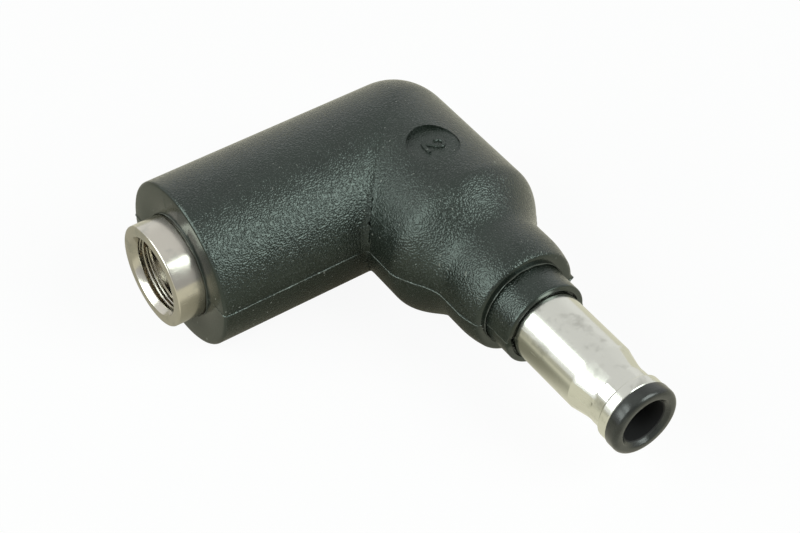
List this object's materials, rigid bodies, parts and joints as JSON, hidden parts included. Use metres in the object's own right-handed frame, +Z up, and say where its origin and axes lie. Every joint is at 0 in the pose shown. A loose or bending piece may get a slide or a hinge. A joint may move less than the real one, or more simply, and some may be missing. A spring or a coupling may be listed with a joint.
{
  "type": "right-angle dc power adapter plug",
  "caption": "Right-angle DC power adapter: a threaded-mouth socket in one leg of a moulded elbow and a necked barrel plug with a black tip in the other.",
  "frame": {"origin": "on the plug's axis, where the barrel leaves its collar", "axes": "-Y along the plug towards its tip, -X out of the socket's mouth, +Z up with the adapter lying on a table"},
  "size_m": [0.0269, 0.0368, 0.0128],
  "materials": {
    "moulded_pvc": "fine spark-eroded grain, soft sheen",
    "collar_plastic": "smooth moulded, satin",
    "tip_plastic": "smooth moulded, semi-gloss",
    "insulator_plastic": "plain moulded",
    "nickel_plate": "satin nickel plate on turned brass",
    "tinned_brass": "tin plated sheet",
    "spring_bronze": "drawn spring wire",
    "solder": "set solder, dull bright",
    "copper": "bare copper",
    "red_wire_cover": "extruded wire cover",
    "black_wire_cover": "extruded wire cover"
  },
  "bodies": {
    "root": {"elbow_housing": "moulded_pvc", "plug_collar": "collar_plastic", "plug_tip_insulator": "tip_plastic", "plug_barrel": "nickel_plate", "plug_pin": "nickel_plate", "plug_insulator": "insulator_plastic", "plug_tag": "tinned_brass", "plug_pin_solder": "solder", "plug_tag_solder": "solder", "socket_sleeve": "nickel_plate", "socket_contact_spring": "spring_bronze", "socket_pin": "nickel_plate", "socket_insulator": "insulator_plastic", "socket_tag": "tinned_brass", "socket_pin_solder": "solder", "socket_tag_solder": "solder", "live_wire_core": "copper", "live_wire_cover": "red_wire_cover", "return_wire_core": "copper", "return_wire_cover": "black_wire_cover"}
  },
  "joints": []
}
